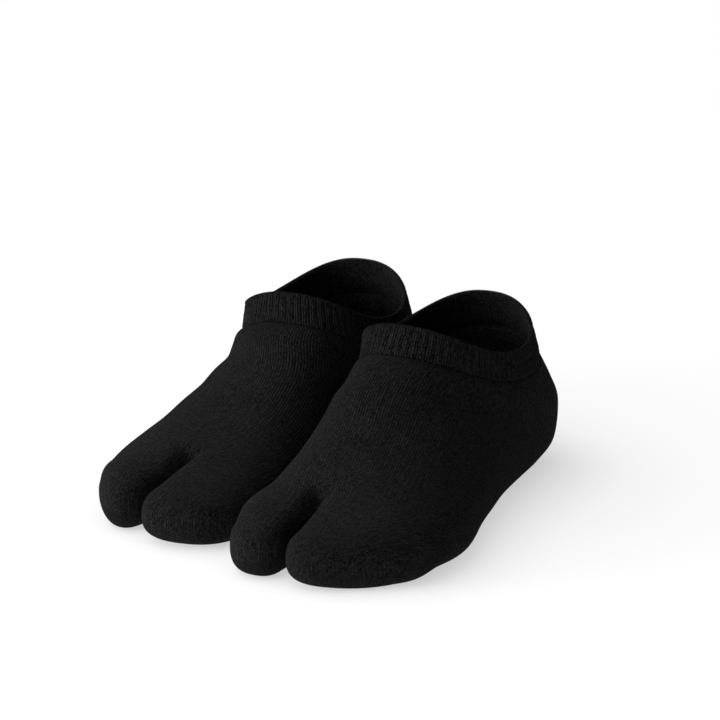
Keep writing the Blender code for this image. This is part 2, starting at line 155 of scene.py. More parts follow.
# Where the cloth spans a hollow of the foot: how far it stands out, and that place's middle and width.
SWELL_COLUMNS = "height u u_width x x_width z z_width".split()
SWELLS = {
    "left": [
        (2.6, 191.0, 10.0, -33.0, 14.0, 22.0, 14.0),
        (2.7, 160.0, 22.0, 55.0, 16.0, 6.0, 14.0),
    ],
    "right": [],
}
SEAM_TUCK, SEAM_TUCK_RUN = 0.7, 1.2  # how deep the foot's top edge tucks in under the cuff, and over how far
# the run counted from these also fades and dashes the painted shade in the tuck
SEAM_FRONT, SEAM_FADE = 95.0, 4.0  # behind this u the tuck fades, as if the edge were up to so far away
SEAM_DASH = 0.8  # the same at every other wale, which dashes the tuck

# ---------------------------------------------------------------- the cuff's knit, in shares of its height
VALLEY_RISE = 0.1  # behind, the valleys rise from the foot's line to CUFF_OUT over this height
RIB_LOW, RIB_GAIN = 0.1, 1.15  # make a rib broader than a plain wave
RIB_FROM, RIB_RISE = 0.05, 0.1  # where the ribs rise out of the seam's ridge, and over what height
RIB_TO, RIB_FALL, RIB_LOSS = 0.9, 0.05, 0.5  # where they sink by that part under the rolled top
RIB_MEAN = 0.85  # their mean height, as a share of RIB_HEIGHT
# Waves round and up the cuff: size, waves round it and waves up it.
RIB_UNEVEN = [(0.15, 13, 0.9)]  # size as a share of RIB_HEIGHT
RIB_WAVER = [(0.03, 31, 1.3), (0.02, 53, -1.7)]  # size in ribs
RIDGE_AT, RIDGE_WIDTH = 0.07, 0.045  # the seam's ridge
RIDGE_BEAD, RIDGE_DASH = 0.35, 0.25  # how much lower it is between two wales, and at every other wale
SCALLOP_TOP = 0.1  # where the ridge's wales start to reach down
FOLD_AT, FOLD_WIDTH, FOLD_LOSS = 0.64, 0.06, 0.7  # the fold behind, and the part of the ribs that it hides
CREASE_AT, CREASE_WIDTH = 0.51, 0.05  # the line pressed in below it
ROLL_AT, ROLL_WIDTH = 0.955, 0.035  # the rolled top
ROLL_BEAD = 0.3  # how much lower it is between two wales
LINE_AT, LINE_WIDTH = 0.9, 0.02  # the line below it
CURL_AT = -0.03  # the bottom edge
CURL_IN, CURL_LESS = 0.6, 0.5  # how far in it curls, mm, and how much less behind
OUTSIDE_TOP = 0.965
# The crown, above that: height, how far out, how much further at a wale and how much higher there, mm.
CROWN = [(0.99, 0.35, 0.25, 0.2), (1.005, -0.05, 0.1, 0.45), (1.0, -0.7, 0.0, 0.3)]
LINING_LEVELS = (0.985, 0.93, 0.8, 0.65, 0.5, 0.35, 0.2, 0.1, -0.05)
LINING_RIB = 0.25  # how far the inside follows the ribs, mm
LINING_TOP, LINING_TOP_RUN = 0.5, 0.03  # how much thinner the wall is at its top, mm, and over what height

# ---------------------------------------------------------------- meshes
# The foot's: columns to a wale; rings from each row of FOOT and of a pocket's table to the next; rings in a
# rounded end.
OUTSIDE = (4, (4, 6, 6, 6, 4, 4, 4, 4, 4, 4, 10), (5, 5), 15)
INSIDE = (1, (2, 3, 3, 3, 2, 2, 2, 2, 2, 2, 5), (2, 2), 5)
RIB_COLUMNS = 12  # to a rib of the cuff's outside
CUFF_ROWS = 44
INNER_THIN = 4  # the cuff's inside has one column for so many of its outside
JOIN = 2e-6  # metres: points this close are made one, as along the closing line of the toes
SMALLEST = 1e-12  # keeps a length that is divided by above nothing

# ---------------------------------------------------------------- looks
# Painted shade: the knit is darkest in the painted shade between stitches and between rows, and lightest on
# them.
KNIT_DARK, KNIT_LIGHT = (0.0010, 0.0009, 0.0010), (0.0190, 0.0180, 0.0190)  # between stitches and on them
RIB_LIGHT = tuple(0.86 * part for part in KNIT_LIGHT)
KNIT_ROW, RIB_ROW = 0.5, 0.75  # the light left between two rows of stitches
# Between which y, in metres, the painted shade between wales grows darker from the toes, and fades again to
# the heel.
CLEAR_FROM, CLEAR = (-0.10, -0.01), (0.55, 0.88)
HEEL_FROM, HEEL_CLEAR = (0.06, 0.10), (1.0, 0.5)
LEG_CLIMB = 1.2  # how many rows a stitch's legs climb over a wale's width
STITCH_LIGHT = (0.2, 1.8)  # the light of the dimmest and the brightest stitch
STITCH_SHARE = 0.6  # how much the stitches count in the colour
# Noises: how fine, in waves to a metre, and what they add at their low and high values.
NOISE_RANGE, NOISE_DETAIL = (0.3, 0.7), 3.0
WANDER_SCALE, WANDER_DETAIL, WANDER = 260.0, 2.0, (-0.08, 0.08)  # in wales, to their place
FUZZ_SCALE, FUZZ = 1500.0, (-0.5, 0.65)  # to the light of the yarn
CLOUD_SCALE, CLOUD = 45.0, (-0.04, 0.05)  # to the light of the cloth
FUZZ_HEIGHT = 0.5  # over a stitch's height
STITCH_HEIGHT = 0.0006  # metres
# painted shade in the tuck under the cuff
TUCK_SHADE, TUCK_SPARED = 0.8, 0.2  # how dark the tuck is, and the share of that at every other wale
TUCK_ROWS = (0.4, 1.4)  # the rows of stitches over which it ends
# painted shade in the valleys between ribs
RIB_VALLEY_SHADE = 0.8  # the light left between two ribs
RIB_TOP = 0.2  # the cosine above which a rib is fully light
SPECULAR, SHEEN, SHEEN_ROUGHNESS, SHEEN_TINT = 0.04, 0.015, 0.4, (1.0, 0.97, 0.98, 1)

STAGE_SIZE, STAGE_BELOW = 6.0, 0.0002  # metres
FLOOR_GREY, FLOOR_GLOW = 0.32, 0.74  # its own colour, and the strength of its glow
# painted contact shadow: the floor's glow dims near the socks
FLOOR_SHADE, FLOOR_DIM = 0.04, 0.72  # how near the socks the floor's glow dims, metres, and to what share
SKY_FROM = (-0.9, -0.5, 0.2)  # where the sky is brightest
SKY_SPAN, SKY = (-0.2, 1.0), (0.0, 2.3)  # between which cosines from there it grows, and its strength at both
LIGHTS_AT = (0.0, 0.0, 0.03)  # what both lamps face
KEY_PLACE, KEY_SIZE, KEY_POWER = (-0.72, -0.62, 0.16), 0.5, 7.0  # metres, watts
FRONT_PLACE, FRONT_SIZE, FRONT_POWER = (0.15, -0.85, 0.12), 0.3, 1.2

CAMERA_TURN, CAMERA_RISE = 25.53, 16.31  # degrees from the front, and above the floor
CAMERA_AWAY = 1.976  # metres
CAMERA_TARGET = (0.0195, -0.0251, 0.0739)
PICTURE_PIXELS, PIXELS_PER_METRE = 720, 2164.3  # the picture's width, and its scale at the target
SENSOR_WIDTH = 36.0  # mm
CLIP_START, CLIP_END = 0.01, 50.0  # metres


# ---------------------------------------------------------------- curves
def blend(p0, p1, p2, p3, f):
    """The Catmull-Rom curve from p1 to p2."""
    return 0.5 * (
        2 * p1 + (p2 - p0) * f + (2 * p0 - 5 * p1 + 4 * p2 - p3) * f**2 + (3 * p1 - p0 - 3 * p2 + p3) * f**3
    )


def spline_row(rows, t):
    """A row between the rows of a table, t counted in rows."""
    rows = np.asarray(rows, float)
    i = int(min(max(np.floor(t), 0), len(rows) - 2))
    before = rows[i - 1] if i > 0 else 2 * rows[0] - rows[1]
    after = rows[i + 2] if i + 2 < len(rows) else 2 * rows[-1] - rows[-2]
    return blend(before, rows[i], rows[i + 1], after, t - i)


def smooth(t):
    """A soft step from 0 to 1, as t goes from 0 to 1."""
    t = np.clip(t, 0.0, 1.0)
    return t * t * (3 - 2 * t)


def bump(t, middle, width):
    """A soft hump, 1 at middle."""
    return np.exp(-(((t - middle) / width) ** 2))


def wave(turns):
    """1 at whole turns and 0 half-way between them."""
    return 0.5 + 0.5 * np.cos(2 * np.pi * turns)


def power(value, exponent):
    """A power that keeps the value's sign."""
    return np.sign(value) * np.abs(value) ** exponent


ANGLES = np.linspace(0, 2 * np.pi, 1440, endpoint=False)  # where a section's outline is worked out


def section(row):
    """A closed ring of the foot: from the instep (0) over the outer side to the sole (180) and back."""
    r = dict(zip(FOOT_COLUMNS, row))
    c, s = np.cos(ANGLES), np.sin(ANGLES)
    round_here = np.where(c > 0, r["top_round"], r["low_round"])
    across = np.where(s > 0, r["lateral"], r["medial"]) * power(s, 2 / round_here)
    across -= r["crest"] * np.clip(c, 0, None) ** 2
    up = np.where(
        c > 0,
        r["widest"] + (1 - r["widest"]) * power(np.clip(c, 0, None), 2 / r["top_round"]),
        r["widest"] * (1 - power(np.clip(-c, 0, None), 2 / r["low_round"])),
    )
    u = r["low_u"] + (r["top_u"] - r["low_u"]) * up
    z = r["low_z"] + (r["top_z"] - r["low_z"]) * up - r["drop"] * s**2
    return np.stack([across, u, z], 1)


def girth(curve):
    """A closed curve's length."""
    return np.linalg.norm(np.roll(curve, -1, axis=0) - curve, axis=1).sum()


def lengths(curve):
    """The share of a closed curve's length at each of its points, and 1 at its return."""
    shut = np.vstack([curve, curve[:1]])
    run = np.concatenate([[0], np.cumsum(np.linalg.norm(np.diff(shut, axis=0), axis=1))])
    return shut, run / run[-1]


def at_shares(curve, shares):
    """The points of a closed curve at shares of its length."""
    shut, share = lengths(curve)
    return np.stack([np.interp(shares % 1.0, share, shut[:, k]) for k in range(3)], 1)


def evenly(curve, start, end, count, crowd=0.0):
    """count + 1 points from one share of a closed curve's length to another. They are evenly spaced, or with
    crowd closer together at the start (above 0) or at the end (below 0)."""
    f = np.linspace(0, 1, count + 1)
    return at_shares(curve, start + (end - start) * (f - crowd * np.sin(np.pi * f) / np.pi))


def cleft_at(side, u):
    """Where the cleft's line is at u."""
    return CLEFT_X[side] + (u - FOOT[-1][0]) * np.tan(np.radians(CLEFT_TURN[side]))


def foot_section(t, side):
    """The foot's ring at t, counted in rows of the table, with its outer side spread for this sock."""
    ring = section(spline_row(FOOT, t))
    widest = FOOT[-1][FOOT_COLUMNS.index("lateral")]
    spread = 1 + SPREAD[side] / widest * smooth((t - SPREAD_FROM) / (len(FOOT) - 1 - SPREAD_FROM))
    ring[:, 0] *= np.where(ring[:, 0] > 0, spread, 1)
    return ring


def cleft_shares(side):
    """The shares at which the last ring crosses the cleft on top, counted from the instep, and below."""
    ring = foot_section(len(FOOT) - 1, side)
    share = lengths(ring)[1][:-1]
    above = np.cos(ANGLES) > 0
    away = np.abs(ring[:, 0] - CLEFT_X[side])
    top = np.argmin(np.where(above, away, np.inf))
    low = np.argmin(np.where(above, np.inf, away))
    return share[top] - (share[top] > 0.5), share[low]


def foot_ring(t, side, shares, columns):
    """A ring's mesh points: from the cleft's top line over the outer side to its bottom line, and back up."""
    curve = foot_section(t, side)
    top, low = shares
    width = WALE_WIDTH * (WALE_NARROW + WALE_GAIN * smooth(t / GAIN_ROWS))
    crowd = max(0.0, 1 - width * sum(WALES[side]) / girth(curve))
    outer = evenly(curve, top, low, columns[0], crowd)
    inner = evenly(curve, low, top + 1, columns[1], -crowd)
    return grooved(np.vstack([outer[:-1], inner[:-1]]), side)


def grooved(points, side):
    """The foot dips on top, and lifts a little below, as it nears the cleft."""
    points = points.copy()
    x, u, z = points.T
    run = smooth((u - FOOT[-1][0] + GROOVE_RUN) / GROOVE_RUN) ** GROOVE_LATE
    width = GROOVE_WIDTH * (1 + GROOVE_SPREAD * (1 - run))
    dip = run * np.exp(-((np.abs(x - cleft_at(side, u)) / width) ** GROOVE_FLAT))
    points[:, 2] = np.where(z > GROOVE_ABOVE, z - GROOVE_DEPTH * dip, z + GROOVE_RISE * dip)
    return points


def pocket_section(row, side, way):
    """A closed ring of a toe pocket: from its cleft edge (0) over the top to its far edge (180) and back."""
    r = dict(zip(POCKET_COLUMNS, row))
    near = cleft_at(side, r["inner_u"]) + way * (CLEFT_GAP / 2 + r["inset"])
    c, s = np.cos(ANGLES), np.sin(ANGLES)
    round_here = np.where(s > 0, np.where(c > 0, r["near_round"], r["top_round"]), r["low_round"])
    across = 0.5 - 0.5 * power(c, 2 / round_here)
    high = np.where(s > 0, r["top_z"] - r["edge_z"], r["edge_z"] - r["low_z"]) * power(s, 2 / round_here)
    along = r["inner_u"] + (r["outer_u"] - r["inner_u"]) * across
    return np.stack([near + (r["side_x"] - near) * across, along, r["edge_z"] + high], 1)


def pocket_end(last, before, half, columns, nose, squareness, turns, seam, rings):
    """Rings that close a pocket like the end of a pillow, hinged on its two edges. The columns run over the
    tip, and in the last ring each meets the one below it."""
    near, far = last[0], last[half + columns]
    axis = far - near
    across = np.clip(((last - near) @ axis) / (axis @ axis), 0, 1)
    # each column's other half: the one that it meets at the closing line
    other = (-np.arange(len(last))) % len(last)
    height = np.abs((last - near - across[:, None] * axis)[:, 2])
    step = last - before
    slope = step[:, 2] / np.maximum(np.linalg.norm(step[:, :2], axis=1), SMALLEST)
    above = np.arange(len(last)) <= half + columns
    out = []
    for k in range(1, rings + 1):
        f = k / rings
        here = across + 0.5 * (across[other] - across) * smooth(f)
        turned = np.radians(turns[0] + (turns[1] - turns[0]) * here)
        ahead = np.stack([np.sin(turned), np.cos(turned), np.zeros(len(last))], 1)
        reach = nose * np.clip(1 - np.abs(2 * here - 1) ** squareness, 0, None) ** (1 / squareness)
        start = np.where(above, np.pi / 2, -np.pi / 2)
        angle = start + (np.radians(seam) - start) * f
        own = np.where(np.sin(angle) * np.where(above, 1, -1) > 0, height, height[other])
        forward = reach * power(np.cos(angle), 2 / END_ROUND)
        lift = own * power(np.sin(angle), 2 / END_ROUND) + slope * forward * (1 - f) ** 2
        ring = near + here[:, None] * axis + forward[:, None] * ahead
        ring[:, 2] += lift
        ring[0], ring[half + columns] = near, far
        out.append(ring)
    return out


def pocket_guides(base, before, web, rows, side, way):
    """The sections that a pocket's rings run through, from the foot's last two rows to its own last one."""
    half, columns = len(web) // 2, len(base) // 2
    behind = web + 0.5 * ((before[0] - base[0]) + (before[-1] - base[-1]))

    def order(over, down):
        return np.vstack([down[half:0:-1], over, down[-2:half:-1]])

    shaped = []
    for row in rows:
        curve = pocket_section(row, side, way)
        edge = lengths(curve)[1][len(ANGLES) // 2]
        web_share = WEB_SHARE * np.linalg.norm(base[0] - base[-1]) / girth(curve)
        shares = (0, web_share, edge, 1 - web_share, 1)
        counts = (half, columns, columns, half)
        parts = [evenly(curve, a, b, count)[:-1] for a, b, count in zip(shares, shares[1:], counts)]
        shaped.append(np.vstack(parts))
    guides = [order(before, behind), order(base, web), *shaped]
    return [*guides, 2 * guides[-1] - guides[-2]]


# ---------------------------------------------------------------- meshes with stitch coordinates
class Skin:
    """Points, each with the run of knitting up to it and how far its wale stands out, and faces, each with
    the wale at its corners. twins are pairs of points in one place."""

    def __init__(self):
        self.points = np.zeros((0, 3))
        self.run = np.zeros(0)
        self.relief = np.zeros(0)
        self.faces, self.wales, self.twins = [], [], []

    def add(self, points, run, relief=0.0):
        """Adds points, and gives their numbers."""
        start = len(self.points)
        self.points = np.vstack([self.points, points])
        self.run = np.concatenate([self.run, np.broadcast_to(run, len(points))])
        self.relief = np.concatenate([self.relief, np.broadcast_to(relief, len(points))])
        return np.arange(start, len(self.points))

    def band(self, a, b, wale, flip=False):
        """Quads between two closed rows of points. wale is how many wales lie between two columns, and flip
        turns the faces."""
        j = np.arange(len(a))
        k = (j + 1) % len(a)
        quads = np.stack([a[j], a[k], b[k], b[j]], 1)
        wales = np.stack([j, j + 1, j + 1, j], 1) * wale
        if flip:
            quads, wales = quads[:, ::-1], wales[:, ::-1]
        for quad, row in zip(quads.tolist(), wales.tolist()):
            self.face(quad, row)

    def face(self, corners, wales):
        """Adds a face, with each of its points once."""
        kept = [i for i, c in enumerate(corners) if c not in corners[:i]]
        if len(kept) > 2:
            self.faces.append([corners[i] for i in kept])
            self.wales.append([wales[i] for i in kept])

    def normals(self):
        """The outward direction at each point."""
        found = np.zeros_like(self.points)
        for size in sorted({len(face) for face in self.faces}):
            group = np.array([face for face in self.faces if len(face) == size])
            p = self.points[group]
            flat = sum(np.cross(p[:, i] - p[:, 0], p[:, i + 1] - p[:, 0]) for i in range(1, size - 1))
            for corner in range(size):
                np.add.at(found, group[:, corner], flat)
        for a, b in (pairs.T for pairs in self.twins):
            found[a] = found[b] = found[a] + found[b]
        return found / np.maximum(np.linalg.norm(found, axis=1), SMALLEST)[:, None]


# ---------------------------------------------------------------- foot
def foot_skin(side, detail):
    """The foot's surface from the seam to its closed toes, and its points' numbers along the seam."""
    fine, foot_steps = detail[:2]
    columns = tuple(n * fine for n in WALES[side])
    shares = cleft_shares(side)
    steps = [i + k / n for i, n in enumerate(foot_steps) for k in range(n)] + [len(foot_steps)]
    rings = [foot_ring(t, side, shares, columns) for t in steps]
    skin = Skin()
    run = SEAM_FADE * smooth((SEAM_FRONT - rings[0][:, 1]) / SEAM_FRONT)
    run += SEAM_DASH * (1 - wave(np.arange(sum(columns)) / (2 * fine)))
    ids = []
    for before, ring in zip([rings[0], *rings], rings):
        run = run + np.linalg.norm(ring - before, axis=1)
        ids.append(skin.add(ring, run, wale_relief(ring)))
    for a, b in zip(ids, ids[1:]):
        skin.band(a, b, 1 / fine)

    # the web runs down the cleft, from its top line to its bottom line
    ends = [0, columns[0]]
    web = np.linspace(*rings[-1][ends], WEB_WALES * fine + 1)
    web_run = np.linspace(*run[ends], len(web))
    web_ids = skin.add(web[1:-1], web_run[1:-1])
    web_ids = np.concatenate([ids[-1][:1], web_ids, ids[-1][ends[1:]]])
    before = foot_ring(len(FOOT) - 2, side, shares, columns)
    over_outer = list(range(columns[0] + 1))
    over_inner = [0, *range(sum(columns) - 1, columns[0] - 1, -1)]
    for picked, rows, end, way in (
        (over_outer, OTHER_TOES[side], OTHER_TOES_END[side], 1),
        (over_inner, BIG_TOE[side], BIG_TOE_END[side], -1),
    ):
        guides = pocket_guides(rings[-1][picked], before[picked], web, rows, side, way)
        add_pocket(skin, ids[-1][picked], web_ids, guides, end, way, detail)
    return skin, ids[0]


def add_pocket(skin, base_ids, web_ids, guides, end, way, detail):
    """Carries the foot's mesh on round one toe pocket, and closes its end."""
    fine, _, pocket_steps, end_rings = detail
    half, each = len(web_ids) // 2, len(base_ids) // 2
    last = np.concatenate([web_ids[half:0:-1], base_ids, web_ids[-2:half:-1]])
    tube = [blend(*guides[i : i + 4], k / n) for i, n in enumerate(pocket_steps) for k in range(n)]
    tube.append(guides[-2])
    tube += pocket_end(tube[-1], tube[-2], half, each, *end, end_rings)
    last_tube = len(tube) - 1 - end_rings
    run = skin.run[last]
    edges = None
    for n, (before, ring) in enumerate(zip(tube, tube[1:]), 1):
        run = run + np.linalg.norm(ring - before, axis=1)
        row = skin.add(ring, run, wale_relief(ring))
        if n > last_tube:
            row[0], row[half + each] = edges
        skin.band(last, row, 1 / fine, flip=way < 0)
        if n == last_tube:
            edges = row[0], row[half + each]
        last = row
    # the columns over the tip meet those that come up from below
    upper = np.arange(1, half + each)
    skin.twins.append(np.stack([last[upper], last[-upper]], 1))


def wale_relief(ring):
    """How far each column stands out: 1 along a wale, -1 between two, and less where the columns crowd."""
    fine = OUTSIDE[0]
    gap = np.linalg.norm(np.roll(ring, -1, axis=0) - ring, axis=1)
    crowd = 0.5 * (gap + np.roll(gap, 1)) * fine / WALE_WIDTH
    return np.cos(2 * np.pi * np.arange(len(ring)) / fine) * smooth((crowd - CROWD_FROM) / CROWD_RUN)


def foot_piece(name, side, look):
    """The knitted foot: an outside with raised wales, a plain inside and the edge under the cuff."""
    outer, outer_rim = foot_skin(side, OUTSIDE)
    inner, inner_rim = foot_skin(side, INSIDE)
    height = relief_height(outer.points) * outer.relief + soft_form(outer.points) - seam_dip(outer)
    height += swell(outer.points, side)
    height[outer.points[:, 2] < FLAT_BELOW] = 0.0
    outer.points = outer.points + outer.normals() * height[:, None]
    outer.points[:, 2] = np.maximum(outer.points[:, 2], 0.0)
    inner.points = inner.points + inner.normals() * (swell(inner.points, side) - WALL)[:, None]
    inner.points[:, 2] = np.maximum(inner.points[:, 2], WALL)
    return wall_mesh(name, side, look, outer, inner, [(outer_rim, inner_rim, False)])


def relief_height(points):
    """The wales are worn flatter on the sole and lie flatter towards the toes."""
    toes = 1 - TOES_LOSS * smooth((points[:, 1] - TOES_FROM) / TOES_RUN)
    sole = SOLE_SHARE + (1 - SOLE_SHARE) * smooth((points[:, 2] - SOLE_FROM) / SOLE_RUN)
    return WALE_HEIGHT * sole * toes


def soft_form(points):
    """The slight unevenness of cloth over a foot, in long soft waves."""
    x, u, z = points.T
    form = sum(np.sin(x / by_x + u / by_u + z / by_z + start) for by_x, by_u, by_z, start in SOFT_WAVES)
    return SOFT_HEIGHT * form * smooth((z - SOFT_FROM) / SOFT_RUN)


def swell(points, side):
    """How far the cloth stands out where it spans a hollow of the foot."""
    out = np.zeros(len(points))
    for row in SWELLS[side]:
        r = dict(zip(SWELL_COLUMNS, row))
        here = bump(points[:, 0], r["x"], r["x_width"]) * bump(points[:, 2], r["z"], r["z_width"])
        out += r["height"] * here * bump(points[:, 1], r["u"], r["u_width"])
    return out


def seam_dip(skin):
    """The foot's top edge tucks in under the cuff."""
    return SEAM_TUCK * bump(skin.run, 0.0, SEAM_TUCK_RUN)


def wall_mesh(name, side, look, outer, inner, rims):
    """One closed wall from an outside, an inside with fewer columns, and the faces between their rims. For
    each pair of rims, turned says whether its faces run the other way round."""
    shift = len(outer.points)
    faces = outer.faces + [[i + shift for i in reversed(face)] for face in inner.faces]
    wales = outer.wales + [row[::-1] for row in inner.wales]
    for outer_rim, inner_rim, turned in rims:
        step = len(outer_rim) // len(inner_rim)
        way = -1 if turned else 1
        for j, near in enumerate(inner_rim):
            k = (j + 1) % len(inner_rim)
            top = [outer_rim[(step * k - n) % len(outer_rim)] for n in range(step + 1)]
            faces.append([near + shift, inner_rim[k] + shift, *top][::way])
            wales.append([j, j + 1, *(j + 1 - n / step for n in range(step + 1))][::way])
    points = np.vstack([outer.points, inner.points])
    run = np.concatenate([outer.run, inner.run])
    return mesh_object(name, placed(points, side), faces, wales, run, side, look)


def added(name, data):
    """A new object in the scene."""
    made = bpy.data.objects.new(name, data)
    bpy.context.scene.collection.objects.link(made)
    return made


def placed(points, side):
    """Points in metres in the pair's frame."""
    x, y, turn = PLACE[side]
    way = 1 if side == "left" else -1
    angle = np.radians(turn) * way
    across, along = points[:, 0] * way, -points[:, 1]
    return MM * np.stack(
        [
            x + across * np.cos(angle) - along * np.sin(angle),
            y + across * np.sin(angle) + along * np.cos(angle),
            points[:, 2],
        ],
        1,
    )


def mesh_object(name, points, faces, wales, run, side, look):
    """A smooth mesh whose UV map counts wales across and rows of stitches along."""
    # the left sock is a mirror image of its own frame
    if side == "left":
        faces = [face[::-1] for face in faces]
        wales = [row[::-1] for row in wales]
    used = np.unique(np.concatenate([np.asarray(face) for face in faces]))
    place = np.full(len(points), -1)
    place[used] = np.arange(len(used))
    mesh = bpy.data.meshes.new(name)
    mesh.from_pydata(points[used].tolist(), [], [place[face].tolist() for face in faces])
    mesh.polygons.foreach_set("use_smooth", [True] * len(mesh.polygons))
    layer = mesh.uv_layers.new(name="stitches")
    corners = np.concatenate([np.asarray(face) for face in faces])
    uv = np.stack([np.concatenate([np.asarray(row, float) for row in wales]), run[corners] / COURSE], 1)
    layer.data.foreach_set("uv", uv.ravel())
    joined = bmesh.new()
    joined.from_mesh(mesh)
    bmesh.ops.remove_doubles(joined, verts=joined.verts, dist=JOIN)
    joined.to_mesh(mesh)
    joined.free()
    mesh.validate()
    mesh.update()
    mesh.materials.append(look)
    return added(name, mesh)


# ---------------------------------------------------------------- cuff
def outward(curve):
    """The level direction out of a closed ring at each of its points."""
    along = np.roll(curve, -1, axis=0) - np.roll(curve, 1, axis=0)
    out = np.stack([-along[:, 1], along[:, 0], np.zeros(len(curve))], 1)
    out /= np.linalg.norm(out, axis=1)[:, None]
    middle = curve.mean(axis=0)
    return out if ((curve - middle) * out).sum() > 0 else -out


def waves(rows, t, count):
    """The sum of waves round and up the cuff, at count points round it at height t."""
    turn = np.arange(count) / count
    return sum(size * np.sin(2 * np.pi * (turn * around + t * up)) for size, around, up in rows)


def cuff_ring(t, count, offset):
    """count points round the cuff at height t (0 at the seam, 1 at the top), moved out by offset. They drift
    from row to row as the ribs lean and waver."""
    shares = np.arange(count) / count + (RIB_LEAN * (t - 0.5) + waves(RIB_WAVER, t, count)) / RIBS
    curve = at_shares(section(spline_row(CUFF, t * (len(CUFF) - 1))), shares)
    return curve + np.asarray(offset).reshape(-1, 1) * outward(curve)


def backward(count):
    """1 round the back of the cuff, 0 at its front, for count points round it."""
    angle = 2 * np.pi * np.arange(count) / count
    return smooth((CREASE_FROM - np.cos(angle)) / CREASE_FADE)


def wale_beads(count):
    """1 along each wale of the cuff and 0 between two, and the same for every other wale."""
    wales = RIBS * RIB_WALES * np.arange(count) / count
    return wave(wales), wave(wales / 2)


def cuff_offsets(t, count):
    """How far the cuff's outside stands out at height t: ribs, the seam's ridge, the crease and the roll."""
    bead, dash = wale_beads(count)
    ribs = wave(RIBS * np.arange(count) / count)
    rib = RIB_HEIGHT * smooth(RIB_LOW + RIB_GAIN * ribs) - WALE_PARTING * (1 - bead)
    back = backward(count)
    fold = bump(t, FOLD_AT, FOLD_WIDTH) * back
    # ribs fade into the ridge below them, over the fold behind and into the rolled edge above
    strength = smooth((t - RIB_FROM) / RIB_RISE) * (1 - RIB_LOSS * smooth((t - RIB_TO) / RIB_FALL))
    strength = strength * (1 - FOLD_LOSS * fold) * (RIB_MEAN + waves(RIB_UNEVEN, t, count))
    ridge = (1 - back) * (1 - RIDGE_BEAD * (1 - bead) - RIDGE_DASH * (1 - dash))
    height = CUFF_OUT * np.maximum(1 - back, smooth(t / VALLEY_RISE)) + rib * strength
    height += SEAM_RIDGE * bump(t, RIDGE_AT, RIDGE_WIDTH) * ridge
    height += ROLL * bump(t, ROLL_AT, ROLL_WIDTH) * (1 - ROLL_BEAD * (1 - bead))
    height -= ROLL_GROOVE * bump(t, LINE_AT, LINE_WIDTH)
    height += CREASE_LIP * fold - CREASE_DEPTH * bump(t, CREASE_AT, CREASE_WIDTH) * back
    return height


def cuff_outside(count):
    """The cuff's outside, from the edge that curls in under the seam's ridge to the rolled top."""
    bead, dash = wale_beads(count)
    levels = np.linspace(0, OUTSIDE_TOP, CUFF_ROWS + 1)
    rings = [cuff_ring(t, count, cuff_offsets(t, count)) for t in levels]
    curl = cuff_ring(CURL_AT, count, CURL_LESS * backward(count) - CURL_IN)
    for t, ring in zip([0.0, *levels], [curl, *rings]):
        ring[:, 2] -= SEAM_SCALLOP * dash * (1 - backward(count)) * smooth(1 - t / SCALLOP_TOP)
    rows = [curl, *rings]
    for t, out, further, lift in CROWN:
        ring = cuff_ring(t, count, out + further * bead)
        ring[:, 2] += lift * bead
        rows.append(ring)
    return cuff_skin(rows, np.zeros(count), rows[0], RIB_WALES / RIB_COLUMNS, flip=True)


def cuff_lining(count, run):
    """The cuff's plainer inside, from its top to its bottom edge."""
    ribs = wave(RIBS * np.arange(count) / count)
    rows = []
    for t in LINING_LEVELS:
        depth = CUFF_IN - LINING_RIB * (1 - ribs) - LINING_TOP * bump(t, 1.0, LINING_TOP_RUN)
        rows.append(cuff_ring(t, count, -depth))
    top, out = CROWN[-1][:2]
    above = cuff_ring(top, count, out)
    return cuff_skin(rows, np.full(count, run), above, RIB_WALES / RIB_COLUMNS * INNER_THIN)


def cuff_skin(rows, run, before, wale, flip=False):
    """A surface through closed rows of points, and each row's point numbers. Its run counts on from run, at
    the row before."""
    skin = Skin()
    ids = []
    for ring in rows:
        run = run + np.linalg.norm(ring - before, axis=1)
        ids.append(skin.add(ring, run))
        before = ring
    for a, b in zip(ids, ids[1:]):
        skin.band(a, b, wale, flip)
    return skin, ids


def cuff_piece(name, side, look):
    """The ribbed cuff: ribs outside, a rounded top with a bead at each stitch, and a plainer inside."""
    count = RIBS * RIB_COLUMNS
    outer, outer_ids = cuff_outside(count)
    inner, inner_ids = cuff_lining(count // INNER_THIN, outer.run[outer_ids[-1]].mean())
    rims = [(outer_ids[-1], inner_ids[0], False), (outer_ids[0], inner_ids[-1], True)]
    return wall_mesh(name, side, look, outer, inner, rims)


